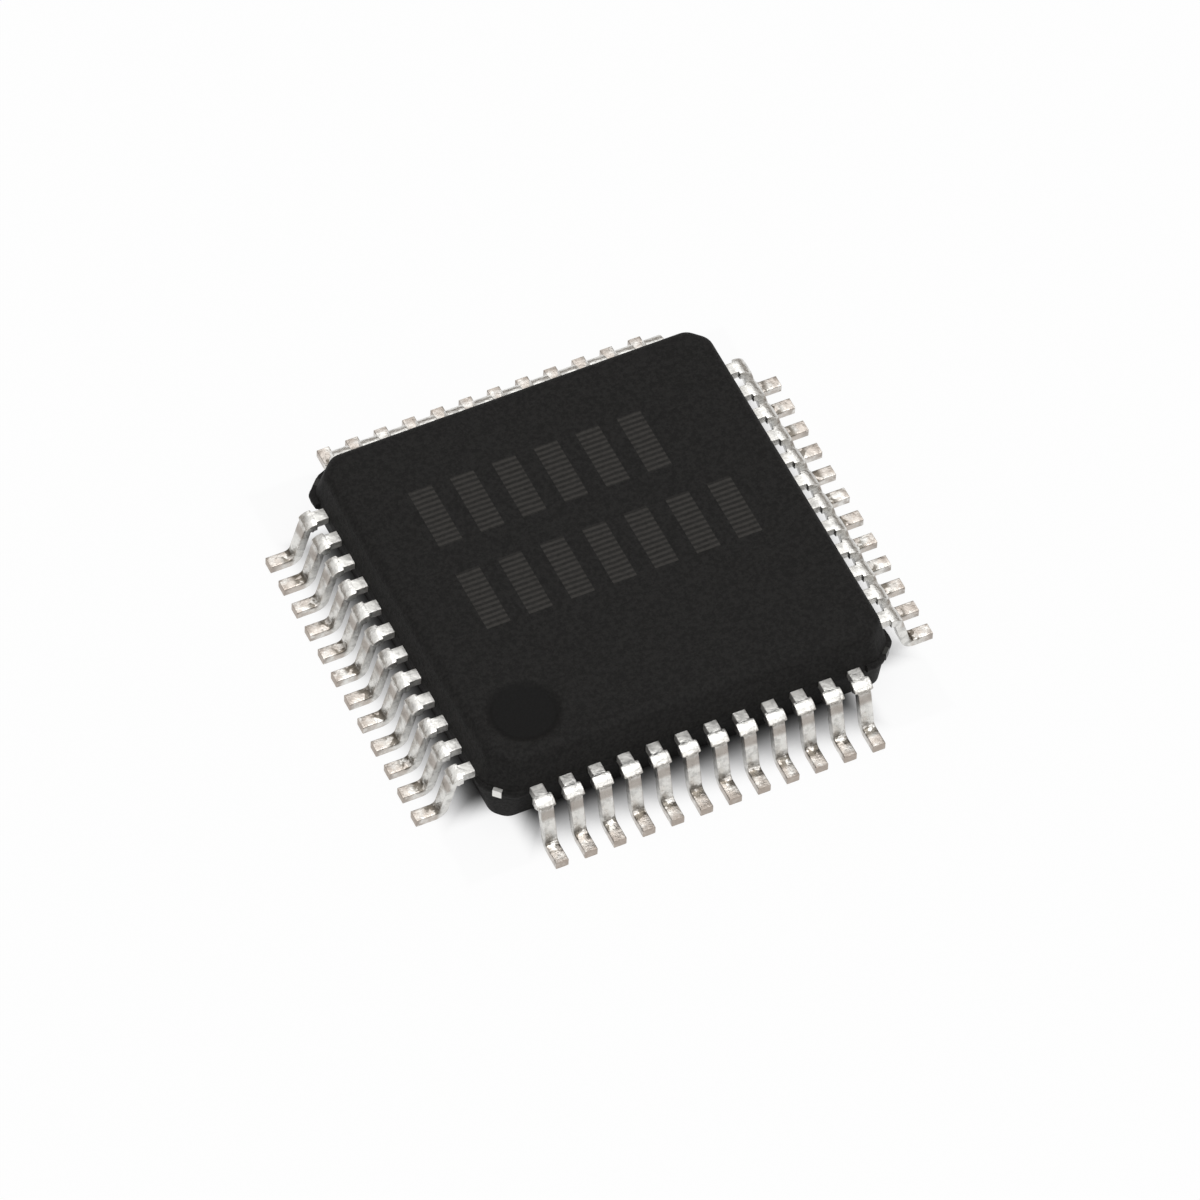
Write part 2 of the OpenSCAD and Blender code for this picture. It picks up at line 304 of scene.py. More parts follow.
def disc_group():
    """A round field on a level face: 1 inside its radius."""
    found = bpy.data.node_groups.get("Round field")
    if found:
        return found
    group, given, result = new_group(
        "Round field", {"X": (FLOAT, 0), "Y": (FLOAT, 0), "Centre X": (FLOAT, 0),
                        "Centre Y": (FLOAT, 0), "Radius": (FLOAT, 1), "Softness": (FLOAT, 0.02)},
        {"Mask": FLOAT})
    dx = calc(group, "SUBTRACT", given.outputs["X"], given.outputs["Centre X"])
    dy = calc(group, "SUBTRACT", given.outputs["Y"], given.outputs["Centre Y"])
    far = calc(group, "SQRT", calc(group, "ADD", calc(group, "MULTIPLY", dx, dx),
                                   calc(group, "MULTIPLY", dy, dy)))
    edge = calc(group, "SUBTRACT", given.outputs["Radius"], far)
    mask = calc(group, "DIVIDE", edge, given.outputs["Softness"], clamp=True)
    plug(group, mask, result.inputs["Mask"])
    return group


def marked_row_group():
    """A row of plain laser-marked bars: 1 inside a bar."""
    found = bpy.data.node_groups.get("Marked row")
    if found:
        return found
    group, given, result = new_group(
        "Marked row", {"X": (FLOAT, 0), "Y": (FLOAT, 0), "Start": (FLOAT, 0), "Pitch": (FLOAT, 1),
                       "Count": (FLOAT, 6), "Fill": (FLOAT, 0.6), "Bottom": (FLOAT, 0),
                       "Height": (FLOAT, 1)},
        {"Mask": FLOAT})
    along = calc(group, "DIVIDE",
                 calc(group, "SUBTRACT", given.outputs["X"], given.outputs["Start"]),
                 given.outputs["Pitch"])
    share = calc(group, "FRACT", along)
    bar = calc(group, "LESS_THAN", share, given.outputs["Fill"])
    inside = calc(group, "MULTIPLY", calc(group, "GREATER_THAN", along, 0.0),
                  calc(group, "LESS_THAN", along, given.outputs["Count"]))
    above = calc(group, "SUBTRACT", given.outputs["Y"], given.outputs["Bottom"])
    tall = calc(group, "MULTIPLY", calc(group, "GREATER_THAN", above, 0.0),
                calc(group, "LESS_THAN", above, given.outputs["Height"]))
    plug(group, calc(group, "MULTIPLY", calc(group, "MULTIPLY", bar, inside), tall),
         result.inputs["Mask"])
    return group


def tarnish_group():
    """Mottled metal: a cloudy mask, a fine mask and the height of its waves and pits."""
    found = bpy.data.node_groups.get("Mottled plating")
    if found:
        return found
    group, given, result = new_group(
        "Mottled plating", {"Place": (VECTOR, None), "Cloud scale": (FLOAT, 6.0),
                            "Grain scale": (FLOAT, 40.0)},
        {"Cloud": FLOAT, "Grain": FLOAT, "Height": FLOAT})
    cloud = grain(group, given.outputs["Place"], given.outputs["Cloud scale"], 3.0, 0.6)
    fine = grain(group, given.outputs["Place"], given.outputs["Grain scale"], 2.0, 0.55)
    height = calc(group, "ADD", calc(group, "MULTIPLY", cloud, 0.85),
                  calc(group, "MULTIPLY", fine, 0.15))
    plug(group, cloud, result.inputs["Cloud"])
    plug(group, fine, result.inputs["Grain"])
    plug(group, height, result.inputs["Height"])
    return group


def blank_material(name, metallic, roughness, specular=0.5):
    """A material with only a Principled shader, whose plain values are set on its sockets."""
    material = bpy.data.materials.new(name)
    material.use_nodes = True
    tree = material.node_tree
    tree.nodes.clear()
    shader = put(tree, "ShaderNodeBsdfPrincipled", {"Metallic": metallic, "Roughness": roughness,
                                                    "Specular IOR Level": specular})
    out = put(tree, "ShaderNodeOutputMaterial")
    tree.links.new(shader.outputs[0], out.inputs["Surface"])
    return material, tree, shader


def bump(tree, shader, height, strength, distance):
    made = put(tree, "ShaderNodeBump", {"Height": height, "Strength": strength,
                                        "Distance": distance})
    tree.links.new(made.outputs["Normal"], shader.inputs["Normal"])


# ---- Finishes ----

# sizes in millimetres: the marked rows as (bars, bottom), and the strokes that fill a bar
MARKED_ROWS = ((6.0, 0.96), (7.0, -0.82))
MARKED_START, MARKED_PITCH, MARKED_HEIGHT = -2.35, 0.73, 1.2
MARKED_FILL = 0.56
STROKE = 0.1


def compound_material(settings):
    """Charcoal epoxy: blasted tool texture, filler specks, a smooth dimple darkened with painted
    shade, two marked rows.
    """
    material, tree, shader = blank_material("moulding_compound", 0.0, 0.62, 0.15)
    place = use_group(tree, place_group(), {"Wall": settings.side / MM})
    at = place.outputs["Place"]
    fine = grain(tree, at, 34.0, 3.0, 0.6)
    coarse = grain(tree, at, 9.0, 2.0, 0.5)
    cloud = grain(tree, at, 0.7, 3.0, 0.55)
    speck = ramp(tree, grain(tree, at, 55.0, 1.0, 0.5), 0.66, 0.76)
    dimple = use_group(tree, disc_group(), {
        "X": place.outputs["X"], "Y": place.outputs["Y"],
        "Centre X": -settings.dimple_place / MM, "Centre Y": -settings.dimple_place / MM,
        "Radius": settings.dimple / MM + 0.02, "Softness": 0.12}).outputs["Mask"]
    on_top = calc(tree, "GREATER_THAN", place.outputs["Z"], settings.top / MM - 0.1)
    dimple = calc(tree, "MULTIPLY", dimple, on_top)
    rows = [use_group(tree, marked_row_group(), {
        "X": place.outputs["X"], "Y": place.outputs["Y"], "Start": MARKED_START,
        "Pitch": MARKED_PITCH, "Count": count, "Fill": MARKED_FILL, "Bottom": bottom,
        "Height": MARKED_HEIGHT}).outputs["Mask"] for count, bottom in MARKED_ROWS]
    marked = calc(tree, "MULTIPLY", calc(tree, "MAXIMUM", *rows), on_top)
    # a laser fills each bar with fine strokes
    wander = calc(tree, "MULTIPLY", grain(tree, at, 5.0, 2.0, 0.5), 1.6)
    strokes = calc(tree, "MULTIPLY", place.outputs["Y"], 2 * math.pi / STROKE)
    hatch = calc(tree, "SINE", calc(tree, "ADD", wander, strokes))
    hatch = ramp(tree, hatch, -0.7, 0.8, 0.2, 0.8)
    worn = ramp(tree, grain(tree, at, 14.0, 3.0, 0.6), 0.25, 0.6, 0.6, 1.0)
    marked = calc(tree, "MULTIPLY", calc(tree, "MULTIPLY", marked, hatch), worn)

    colour = blend_colour(tree, cloud, rgba(settings.compound, 0.85), rgba(settings.compound, 1.15))
    colour = blend_colour(tree, ramp(tree, grain(tree, at, 15.0, 3.0, 0.7), 0.36, 0.64), colour,
                          rgba(settings.compound, 2.2))
    colour = blend_colour(tree, calc(tree, "MULTIPLY", speck, 0.35), colour,
                          rgba(settings.compound, 3.2))
    # painted shade: the dimple's colour is darkened to stand in for the dark surroundings its
    # smoother face reflects
    colour = blend_colour(tree, calc(tree, "MULTIPLY", dimple, 0.9), colour,
                          rgba(settings.compound, 0.5))
    colour = blend_colour(tree, marked, colour, rgba(settings.marking))
    plug(tree, colour, shader.inputs["Base Color"])
    rough = ramp(tree, fine, 0.2, 0.8, 0.62, 0.8)
    plug(tree, rough, shader.inputs["Roughness"])
    height = calc(tree, "ADD", calc(tree, "MULTIPLY", fine, 0.6),
                  calc(tree, "MULTIPLY", coarse, 0.4))
    height = calc(tree, "MULTIPLY", height,
                  calc(tree, "SUBTRACT", 1.0, calc(tree, "MULTIPLY", dimple, 0.85)))
    bump(tree, shader, height, 0.6, 0.016 * MM)
    return material


def tin_material(settings):
    """Matte tin over copper alloy: mottled, tarnished in the heels, bare where it was cut, with
    painted shade under the shoulder.
    """
    material, tree, shader = blank_material("matte_tin", 1.0, 0.34)
    place = use_group(tree, place_group(), {"Wall": settings.wall / MM})
    at = place.outputs["Place"]
    mottle = use_group(tree, tarnish_group(), {"Place": at, "Cloud scale": 8.0,
                                               "Grain scale": 30.0})
    cloud, fine = mottle.outputs["Cloud"], mottle.outputs["Grain"]
    outward, up = place.outputs["Outward"], place.outputs["Z"]
    colour = blend_colour(tree, ramp(tree, cloud, 0.42, 0.68), rgba(settings.tin),
                          rgba(settings.tin, 0.72))
    # painted shade on the riser just under the shoulder, and stained in the heel
    painted_shade_under_shoulder = calc(tree, "MULTIPLY", between(tree, outward, 0.42, 0.50, 0.03),
                  between(tree, up, 0.60, 0.80, 0.05))
    in_heel = calc(tree, "MULTIPLY", between(tree, outward, 0.58, 0.78, 0.05),
                   between(tree, up, 0.12, 0.30, 0.04))
    spots = ramp(tree, grain(tree, at, 6.0, 2.0, 0.6), 0.44, 0.51)
    # painted shade under the shoulder, in the cut end's colour darkened
    colour = blend_colour(tree, calc(tree, "MULTIPLY", painted_shade_under_shoulder, 0.75), colour,
                          rgba(settings.cut, 0.7))
    foot = calc(tree, "MULTIPLY", ramp(tree, outward, 0.58, 0.66),
                ramp(tree, grain(tree, at, 4.5, 3.0, 0.6), 0.3, 0.6))
    colour = blend_colour(tree, calc(tree, "MULTIPLY", foot, 0.75), colour,
                          rgba(settings.cut))
    colour = blend_colour(tree, calc(tree, "MULTIPLY", calc(tree, "MULTIPLY", in_heel, spots),
                                     0.85), colour, rgba(settings.stain))
    toe = (settings.toe - settings.wall) / MM
    cut = ramp(tree, outward, toe - 0.012, toe - 0.004)
    near_cut = calc(tree, "MULTIPLY", ramp(tree, outward, toe - 0.16, toe - 0.03),
                    ramp(tree, cloud, 0.38, 0.55))
    colour = blend_colour(tree, calc(tree, "MULTIPLY", near_cut, 0.75), colour,
                          rgba(settings.cut, 0.7))
    colour = blend_colour(tree, calc(tree, "MULTIPLY", cut, 0.75), colour, rgba(settings.cut))
    plug(tree, colour, shader.inputs["Base Color"])
    rough = ramp(tree, fine, 0.25, 0.75, 0.26, 0.38)
    dull = calc(tree, "MAXIMUM", cut, ramp(tree, outward, 0.14, 0.2, 1.0, 0.0))
    plug(tree, calc(tree, "ADD", rough, calc(tree, "MULTIPLY", dull, 0.2)),
         shader.inputs["Roughness"])
    bump(tree, shader, mottle.outputs["Height"], 0.6, 0.03 * MM)
    return material


def copper_material(settings, tin):
    """The die pad's copper alloy, tinned at the pin 1 tie bar's end and dark at the other three tie
    bars' ends.
    """
    material, tree, shader = blank_material("copper_alloy", 1.0, 0.35)
    place = use_group(tree, place_group(), {"Wall": 3.2})
    mottle = use_group(tree, tarnish_group(), {"Place": place.outputs["Place"],
                                               "Cloud scale": 3.0, "Grain scale": 40.0})
    colour = blend_colour(tree, ramp(tree, mottle.outputs["Cloud"], 0.3, 0.7),
                          rgba(settings.copper), rgba(settings.copper, 0.75))
    # three of the tie bars' ends are dark, and the one at pin 1 is tinned
    across = calc(tree, "ADD", place.outputs["X"], place.outputs["Y"])
    end = blend_colour(tree, ramp(tree, across, -6.0, -5.0), tin, DARK_TIE_END)
    colour = blend_colour(tree, ramp(tree, place.outputs["Outward"], 0.0, 0.05), colour, end)
    plug(tree, colour, shader.inputs["Base Color"])
    plug(tree, ramp(tree, mottle.outputs["Grain"], 0.2, 0.8, 0.28, 0.45),
         shader.inputs["Roughness"])
    bump(tree, shader, mottle.outputs["Height"], 0.4, 0.008 * MM)
    return material


def plain_metal(name, colour, cloud_scale, low, high):
    """A mottled metal of one colour, for the wires and the adhesive's silver."""
    material, tree, shader = blank_material(name, 1.0, 0.3)
    place = use_group(tree, place_group())
    mottle = use_group(tree, tarnish_group(), {"Place": place.outputs["Place"],
                                               "Cloud scale": cloud_scale,
                                               "Grain scale": 60.0})
    plug(tree, blend_colour(tree, mottle.outputs["Cloud"], rgba(colour, 0.85), rgba(colour, 1.1)),
         shader.inputs["Base Color"])
    plug(tree, ramp(tree, mottle.outputs["Grain"], 0.2, 0.8, low, high),
         shader.inputs["Roughness"])
    bump(tree, shader, mottle.outputs["Height"], 0.3, 0.004 * MM)
    return material


def silicon_material(settings):
    """The die: polished silicon with faint blocks of circuitry on its upper face."""
    material, tree, shader = blank_material("silicon", 0.0, 0.18)
    place = use_group(tree, place_group())
    cells = put(tree, "ShaderNodeTexVoronoi", {"Vector": place.outputs["Place"], "Scale": 3.0},
                distance="CHEBYCHEV", feature="F1")
    shade = put(tree, "ShaderNodeSeparateXYZ", {0: cells.outputs["Color"]}).outputs["X"]
    tracks = ramp(tree, grain(tree, place.outputs["Place"], 45.0, 1.0, 0.4), 0.45, 0.55)
    colour = blend_colour(tree, shade, rgba(settings.silicon), rgba(settings.silicon, 1.8))
    colour = blend_colour(tree, calc(tree, "MULTIPLY", tracks, 0.25), colour,
                          rgba(settings.silicon, 3.0))
    plug(tree, colour, shader.inputs["Base Color"])
    plug(tree, ramp(tree, shade, 0.0, 1.0, 0.12, 0.25), shader.inputs["Roughness"])
    return material


# ---- Mesh helpers ----

def finish_piece(mesh_builder, name, material, replaced, sharp=math.radians(40)):
    """Turns a bmesh into a piece that rides on the part and stands for its CAD nodes."""
    bmesh.ops.remove_doubles(mesh_builder, verts=mesh_builder.verts, dist=1e-8)
    bmesh.ops.recalc_face_normals(mesh_builder, faces=mesh_builder.faces)
    for face in mesh_builder.faces:
        face.smooth = True
    for edge in mesh_builder.edges:
        if len(edge.link_faces) == 2 and edge.calc_face_angle(0.0) > sharp:
            edge.smooth = False
    mesh = bpy.data.meshes.new(name)
    mesh_builder.to_mesh(mesh)
    mesh_builder.free()
    piece = bpy.data.objects.new(name, mesh)
    bpy.context.scene.collection.objects.link(piece)
    mesh.materials.append(material)
    weighted = piece.modifiers.new("Even shading", "WEIGHTED_NORMAL")
    weighted.keep_sharp = True
    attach(piece, "root")
    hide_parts(*replaced)
    return piece


def skin(builder, rings, close=True):
    """Joins rings of the same number of points by quads. Returns the rings of vertices."""
    loops = [[builder.verts.new(point) for point in ring] for ring in rings]
    for low, high in zip(loops, loops[1:]):
        for k in range(len(low)):
            n = (k + 1) % len(low)
            if k + 1 < len(low) or close:
                builder.faces.new((low[k], low[n], high[n], high[k]))
    return loops


def arc_points(centre, radius, start, end, steps):
    """Points of an arc in a plane, angles in radians."""
    return [(centre[0] + radius * math.cos(start + (end - start) * k / steps),
             centre[1] + radius * math.sin(start + (end - start) * k / steps))
            for k in range(steps + 1)]


def fill_face(builder, loops):
    """Fills a level face between an outer loop and the loops of its holes."""
    edges = []
    for loop in loops:
        for a, b in zip(loop, loop[1:] + loop[:1]):
            edges.append(builder.edges.get((a, b)) or builder.edges.new((a, b)))
    bmesh.ops.triangle_fill(builder, use_beauty=True, use_dissolve=False, edges=edges)


def sunk_disc(builder, centre, level, down, profile, steps=72):
    """A round recess: rings of (radius, depth) and a level floor. Returns its rim."""
    rings = [[(centre[0] + radius * math.cos(2 * math.pi * k / steps),
               centre[1] + radius * math.sin(2 * math.pi * k / steps),
               level + down * depth) for k in range(steps)] for radius, depth in profile]
    loops = skin(builder, rings)
    builder.faces.new(loops[-1])
    return loops[0]


# ---- Moulded body ----

BLEND_STEPS = 4
CUT_STEPS = 3
LOW_STEPS, TOP_STEPS = 6, 12
# the flash's rounded section, as shares of the land's height and of the flash's width
FLASH_BEAD = ((0.02, 0.45), (0.12, 0.8), (0.3, 1.0), (0.7, 1.0), (0.88, 0.8), (0.98, 0.45))
DIMPLE_RIM = 0.2 * MM
DIMPLE_STEPS = 12
TURN = math.tan(math.radians(22.5))
# how much flash each corner keeps: back, left, pin 1, right
FLASH_SHARES = (1.0, 1.45, 0.8, 1.2)


def corner_points(settings, cut, inset, corner_inset, flash):
    """Outline round one corner toward +X +Y, from its -Y side on, at insets of the sides and
    of the corner cut from the parting outline."""
    reach = settings.side - inset
    cut_now = cut + corner_inset * math.sqrt(2) - 2 * inset
    blend = min(settings.corner_blend, 0.42 * cut_now * math.sqrt(2))
    radius = blend / TURN
    points = []
    for turned in (False, True):
        start = 45 if turned else 0
        vertex = (reach - cut_now, reach) if turned else (reach, reach - cut_now)
        along = (-math.sqrt(0.5), math.sqrt(0.5)) if turned else (0, 1)
        begin = (vertex[0] - along[0] * blend, vertex[1] - along[1] * blend)
        normal = (math.cos(math.radians(start)), math.sin(math.radians(start)))
        centre = (begin[0] - normal[0] * radius, begin[1] - normal[1] * radius)
        arc = arc_points(centre, radius, math.radians(start), math.radians(start + 45),
                         BLEND_STEPS)
        points.append(arc)
    first, second = points
    cut_line = [tuple(first[-1][i] + (second[0][i] - first[-1][i]) * k / (CUT_STEPS + 1)
                      for i in range(2)) for k in range(1, CUT_STEPS + 1)]
    gap = first[0][1] - settings.flash_start
    shift = 0.0 if gap > 0.02 * MM else 0.02 * MM - gap
    lead_in = [(reach, settings.flash_start - shift), (reach, settings.flash_start - shift
                                                       + 0.008 * MM)]
    lead_out = [(y, x) for x, y in reversed(lead_in)]
    line = lead_in + first + cut_line + second + lead_out
    if not flash:
        return line
    # the flash follows the outline, ragged by a few micrometres
    grown = []
    for k, (x, y) in enumerate(line):
        if k in (0, len(line) - 1):
            grown.append((x, y))
            continue
        share = min(max((math.atan2(y, x) - math.radians(40)) / math.radians(10), 0), 1)
        away = Vector((1 - share, share)).normalized()
        ragged = 1 + 0.35 * noise.noise(Vector((x, y, cut)) * 9000)
        grown.append((x + away.x * flash * ragged, y + away.y * flash * ragged))
    return grown


def body_ring(settings, inset, corner_inset, height, flash=0.0):
    """The body's outline at one height, anticlockwise."""
    ring = []
    for quarter in range(4):
        cut = settings.pin1_cut if quarter == 2 else settings.corner_cut
        turn = Matrix.Rotation(quarter * math.pi / 2, 2)
        for x, y in corner_points(settings, cut, inset, corner_inset,
                                  flash * FLASH_SHARES[quarter]):
            spot = turn @ Vector((x, y))
            ring.append((spot.x, spot.y, height))
    return ring


def wall_inset(rise, top, rounding, slope):
    """How far a drafted wall of height top lies in at a height above its foot."""
    centre = top - rounding
    if rise < centre + rounding * math.sin(slope):
        return rise * math.tan(slope)
    return (centre * math.tan(slope) + rounding / math.cos(slope)
            - math.sqrt(max(rounding ** 2 - (rise - centre) ** 2, 0.0)))


def body_section(settings):
    """(inset, corner inset, height, flash) of the body's rings, from the underside up to the
    top face."""
    rings = []
    for foot, end, rounding, corner, steps in (
            (settings.land_low, settings.underside, settings.low_round,
             settings.corner_draft_low, LOW_STEPS),
            (settings.land_high, settings.top, settings.top_round,
             settings.corner_draft_top, TOP_STEPS)):
        tall = abs(end - foot)
        way = 1 if end > foot else -1
        rises = [0.0] + [tall - rounding + rounding * math.sin(
            settings.draft + (math.pi / 2 - settings.draft) * k / steps)
            for k in range(steps + 1)]
        half = [(wall_inset(rise, tall, rounding, settings.draft),
                 wall_inset(rise, tall, rounding, corner), foot + way * rise, 0.0)
                for rise in rises]
        rings += half if way > 0 else list(reversed(half))
    middle = len(rings) - (TOP_STEPS + 2)
    bead = [(0.0, 0.0, settings.land_low + (settings.land_high - settings.land_low) * share,
             settings.flash * grown) for share, grown in FLASH_BEAD]
    return rings[:middle] + bead + rings[middle:]


def build_body(settings):
    builder = bmesh.new()
    loops = skin(builder, [body_ring(settings, *ring) for ring in body_section(settings)])
    profile = [(settings.dimple + DIMPLE_RIM * (0.3 - share),
                settings.dimple_depth * share * share * (3 - 2 * share))
               for share in (k / DIMPLE_STEPS for k in range(DIMPLE_STEPS + 1))]
    dimple = sunk_disc(
        builder, (-settings.dimple_place, -settings.dimple_place), settings.top, -1, profile)
    fill_face(builder, [loops[-1], dimple])
    marks = []
    for sign in (-1, 1):
        spot = (sign * settings.ejector_place, -sign * settings.ejector_place)
        rim = settings.ejector
        marks.append(sunk_disc(
            builder, spot, settings.underside, 1,
            [(rim, 0), (rim - 0.004 * MM, settings.ejector_depth * 0.5),
             (rim - 0.012 * MM, settings.ejector_depth)]))
    fill_face(builder, [loops[0]] + marks)
    finish_piece(builder, "moulded_body", compound_material(settings),
                 ["mold_body"], math.radians(30))


# ---- Leads ----

BEND_STEPS = 14
# run of a dam bar end's corner, along the lead and in radians round the shoulder
DAM_STEP, DAM_TURN = 0.006 * MM, 0.03
# the sheared toe's last rings: distance back from the end, and shrinkage
TOE_RINGS = ((0.006 * MM, 0.0), (0.0015 * MM, 0.004 * MM), (0.0, 0.009 * MM))


def lead_stations(settings, number):
    """Centre line of one lead of the front row, from the finger's tip to the toe, as
    (x, distance out, height, slope, half width)."""
    k = number % settings.per_side
    place = (k - (settings.per_side - 1) / 2)
    x, x_tip = place * settings.pitch, place * settings.tip_pitch
    half, half_tip = settings.width / 2, settings.tip_width / 2
    mid = settings.thickness / 2
    level = settings.height - mid
    tip = settings.wall - settings.finger
    bend = settings.wall + settings.shoulder
    drop = settings.riser
    shoulder_r = settings.shoulder_bend + mid
    heel_r = settings.heel_bend + mid
    wide = half + settings.dam_stub
    dam_in = settings.wall + settings.dam_start
    stations = [(x_tip, tip, level, 0.0, half_tip),
                (x_tip, tip + settings.tip_len, level, 0.0, half_tip),
                (x, settings.wall - settings.anchor, level, 0.0, half),
                (x, settings.wall, level, 0.0, half),
                (x, dam_in - DAM_STEP, level, 0.0, half),
                (x, dam_in, level, 0.0, wide - DAM_STEP),
                (x, dam_in + DAM_STEP, level, 0.0, wide)]
    # the dam bar's cut ends run on over the shoulder, because they were cut before forming
    stub_end = settings.dam_start + settings.dam_len - settings.shoulder
    stub_angle = math.asin(stub_end / (settings.shoulder_bend + settings.thickness))
    angles = sorted({drop * k / BEND_STEPS for k in range(BEND_STEPS + 1)} | {stub_angle})
    for a in angles:
        spot = (bend + shoulder_r * math.sin(a), level - shoulder_r * (1 - math.cos(a)))
        if a < stub_angle - DAM_TURN:
            stations.append((x, *spot, a, wide))
        elif a == stub_angle:
            for turn, w in ((a - DAM_TURN, wide), (a, wide - DAM_STEP), (a + DAM_TURN, half)):
                stations.append((x, bend + shoulder_r * math.sin(turn),
                                 level - shoulder_r * (1 - math.cos(turn)), turn, w))
        elif a > stub_angle + DAM_TURN:
            stations.append((x, *spot, a, half))
    top_out, top_up = stations[-1][1], stations[-1][2]
    foot_up = mid + heel_r * (1 - math.cos(drop))
    foot_out = top_out + (top_up - foot_up) / math.tan(drop)
    for part in (0.33, 0.67):
        stations.append((x, top_out + (foot_out - top_out) * part,
                         top_up + (foot_up - top_up) * part, drop, half))
    centre = (foot_out + heel_r * math.sin(drop), mid + heel_r)
    for k in range(BEND_STEPS + 1):
        a = drop * (1 - k / BEND_STEPS)
        stations.append((x, centre[0] - heel_r * math.sin(a),
                         centre[1] - heel_r * math.cos(a), a, half))
    first = stations[-1][1]
    for part in (0.5, 0.97):
        stations.append((x, first + (settings.toe - first) * part, mid, 0.0, half))
    return stations


def lead_section(half, mid, edge):
    """A stamped strip's section as (across, up): rolled upper edges and sharper lower ones."""
    points = []
    for cx, cz, start, radius in ((half, mid, 0, edge), (-half, mid, 90, edge),
                                  (-half, -mid, 180, edge * 0.5),
                                  (half, -mid, 270, edge * 0.5)):
        centre = (cx - math.copysign(radius, cx), cz - math.copysign(radius, cz))
        points += arc_points(centre, radius, math.radians(start), math.radians(start + 90), 3)
    return points


def build_lead(settings, number, material):
    """One formed lead, from its finger inside the body to its toe."""
    side = number // settings.per_side
    mid = settings.thickness / 2
    turn = Matrix.Rotation(side * math.pi / 2, 4, "Z")
    rings = []
    stations = lead_stations(settings, number)
    for x, out, up, slope, half in stations:
        ring = []
        for across, lift in lead_section(half, mid, settings.edge):
            ring.append(turn @ Vector((x + across, -(out + lift * math.sin(slope)),
                                       up + lift * math.cos(slope))))
        rings.append(ring)
    # the toe was sheared from above: a rolled upper edge, a flat cut and a small step
    x, _, up, _, half = stations[-1]
    for back, shrink in TOE_RINGS:
        ring = []
        for across, lift in lead_section(half - shrink, mid, settings.edge):
            lift = min(lift, mid - shrink)
            ring.append(turn @ Vector((x + across, -(settings.toe - back), up + lift)))
        rings.append(ring)
    builder = bmesh.new()
    loops = skin(builder, rings)
    builder.faces.new(list(reversed(loops[0])))
    builder.faces.new(loops[-1])
    name = "lead_%02d" % (number + 1)
    finish_piece(builder, "formed_" + name, material, [name], math.radians(35))


# ---- Bond wires ----

WIRE_STEPS, WIRE_SIDES = 14, 10
STITCH = 0.045 * MM


def loop_spot(t, reach, drop, rise, ball):
    """A point of a wire loop's centre line in its own plane."""
    spots = (Vector((0, ball)), Vector((0, ball + 1.4 * rise)),
             Vector((0.4 * reach, ball + 1.2 * rise)), Vector((reach, drop)))
    weights = ((1 - t) ** 3, 3 * (1 - t) ** 2 * t, 3 * (1 - t) * t * t, t ** 3)
    return sum((spot * weight for spot, weight in zip(spots, weights)), Vector((0, 0)))


def build_wires(settings, leads, side, material):
    """The bond wires of one side: a ball, a round loop and a flattened stitch each."""
    die_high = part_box("die")[1]
    turn = Matrix.Rotation(side * math.pi / 2, 4, "Z")
    half_die = die_high.x
    bond_pitch = 2 * (half_die - settings.bond_corner) / (leads.per_side - 1)
    finger_out = leads.wall - leads.finger + leads.tip_len / 2
    radius, ball = settings.wire / 2, settings.ball / 2
    builder = bmesh.new()
    for k in range(leads.per_side):
        place = k - (leads.per_side - 1) / 2
        start = Vector((place * bond_pitch, -(half_die - settings.bond_inset)))
        end = Vector((place * leads.tip_pitch, -finger_out))
        run = end - start
        drop = leads.height - die_high.z
        reach = run.length - STITCH
        ahead = run.normalized()
        aside = Vector((-ahead.y, ahead.x))
        rings = [(0, 0.0, 0, 0.8 * ball, 0.8 * ball), (0, 0.15 * ball, 0, ball, ball),
                 (0, 0.5 * ball, 0, ball, ball), (0, 0.66 * ball, 0, 0.8 * ball, 0.8 * ball)]
        for n in range(WIRE_STEPS + 1):
            t = n / WIRE_STEPS
            spot = loop_spot(t, reach, drop + radius, settings.loop, 0.66 * ball)
            ahead_spot = loop_spot(min(t + 0.01, 1), reach, drop + radius, settings.loop,
                                   0.66 * ball)
            behind = loop_spot(max(t - 0.01, 0), reach, drop + radius, settings.loop,
                               0.66 * ball)
            lean = ahead_spot - behind
            rings.append((spot.x, spot.y, math.atan2(lean.y, lean.x) - math.pi / 2,
                          radius, radius))
        rings.append((reach + STITCH * 0.6, drop + 0.006 * MM, -math.pi / 2, 0.006 * MM,
                      radius * 1.5))
        rings.append((reach + 2 * STITCH, drop + 0.003 * MM, -math.pi / 2, 0.003 * MM,
                      radius * 1.7))
        loops = []
        for along, up, lean, thick, wide in rings:
            loop = []
            for j in range(WIRE_SIDES):
                a = 2 * math.pi * j / WIRE_SIDES
                reach_out = thick * math.cos(a)
                level = start + ahead * (along + reach_out * math.cos(lean)) \
                    + aside * (wide * math.sin(a))
                loop.append(turn @ Vector((level.x, level.y,
                                           die_high.z + up + reach_out * math.sin(lean))))
            loops.append(loop)
        made = skin(builder, loops)
        builder.faces.new(list(reversed(made[0])))
        builder.faces.new(made[-1])
    node = "bond_wires_" + SIDES[side]
    finish_piece(builder, "gold_" + node, material, [node])


# ---- Stage ----

# each lamp's name, place, size and share of the key's strength
LAMPS = (("overhead", (0.01, -0.01, 0.13), (0.08, 0.08), 15),
         ("back_key", (0.039, 0.076, 0.111), (0.06, 0.06), 2.5),
         ("left_fill", (-0.14, 0.0, 0.07), (0.07, 0.07), 3),
         ("front_fill", (0.045, -0.13, 0.09), (0.09, 0.05), 6))
FLOOR_HALF = 0.6


